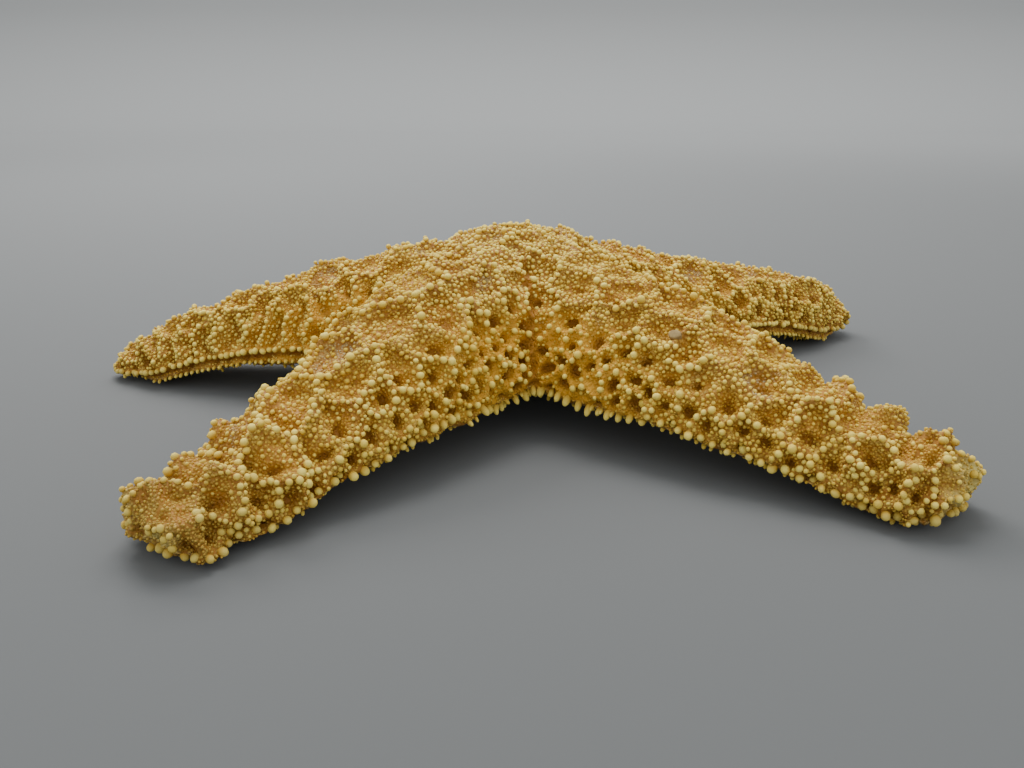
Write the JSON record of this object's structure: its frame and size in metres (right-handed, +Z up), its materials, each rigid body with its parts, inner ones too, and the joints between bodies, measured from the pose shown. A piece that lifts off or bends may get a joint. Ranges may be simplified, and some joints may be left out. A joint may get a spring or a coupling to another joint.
{
  "type": "dried starfish",
  "caption": "Dried starfish with stout arched arms, a knobbly back and a grooved underside, standing on its arm tips.",
  "frame": {"origin": "on the resting surface, at the middle of the outline seen from above", "axes": "+Z up from the surface to the back; +X along the widest spread, towards the arm named right; +Y towards the back arm"},
  "size_m": [0.2062, 0.1894, 0.04],
  "materials": {
    "dried_skin": "dry matt skin, orange brown, darker in the pits",
    "chalky_knobs": "chalky matt knobs and spines, cream to pale yellow"
  },
  "bodies": {
    "root": {"starfish": "dried_skin"}
  },
  "joints": []
}
